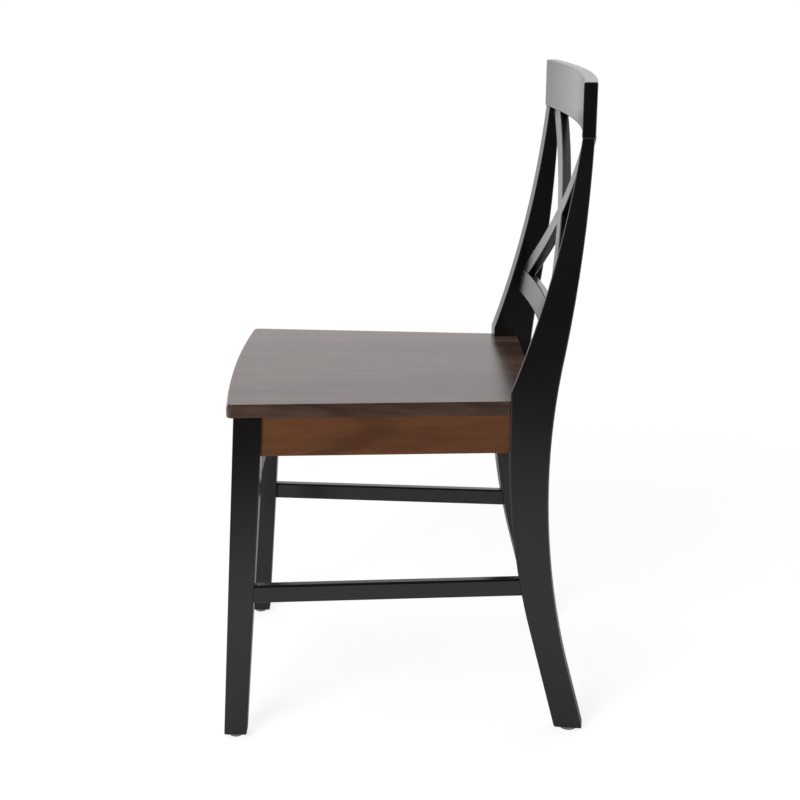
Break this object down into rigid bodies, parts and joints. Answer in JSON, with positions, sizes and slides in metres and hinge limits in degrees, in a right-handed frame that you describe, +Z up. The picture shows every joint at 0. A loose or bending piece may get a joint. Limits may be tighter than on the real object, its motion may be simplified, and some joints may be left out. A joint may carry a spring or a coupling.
{
  "type": "cross back dining chair",
  "caption": "Wooden side chair with a flat board seat, sabre rear legs, a bowed crest rail and a back of crossing slats.",
  "frame": {"origin": "on the floor, below the centre of the chair's bounding box", "axes": "+Z up, the sitter faces -Y, +X is the sitter's left"},
  "size_m": [0.448, 0.4832, 0.863],
  "materials": {
    "stained_wood": "brown stain under satin lacquer",
    "black_lacquer_wood": "satin black lacquer",
    "plain_wood": "bare planed wood",
    "zinc_steel": "zinc plated",
    "glide_steel": "nickel plated"
  },
  "bodies": {
    "root": {"seat": "stained_wood", "front_apron": "stained_wood", "rear_apron": "stained_wood", "left_side_apron": "stained_wood", "right_side_apron": "stained_wood", "front_left_leg": "black_lacquer_wood", "front_right_leg": "black_lacquer_wood", "rear_left_leg": "black_lacquer_wood", "rear_right_leg": "black_lacquer_wood", "crest_rail": "black_lacquer_wood", "lower_back_rail": "black_lacquer_wood", "cross_slat_under": "black_lacquer_wood", "cross_slat_over": "black_lacquer_wood", "left_side_stretcher": "black_lacquer_wood", "right_side_stretcher": "black_lacquer_wood", "front_left_corner_block": "plain_wood", "front_right_corner_block": "plain_wood", "rear_left_corner_block": "plain_wood", "rear_right_corner_block": "plain_wood", "side_apron_dowels": "plain_wood", "front_apron_dowels": "plain_wood", "rear_apron_dowels": "plain_wood", "crest_dowels": "plain_wood", "corner_block_screws": "zinc_steel", "seat_screws": "zinc_steel", "front_left_glide": "glide_steel", "front_right_glide": "glide_steel", "rear_left_glide": "glide_steel", "rear_right_glide": "glide_steel"}
  },
  "joints": []
}
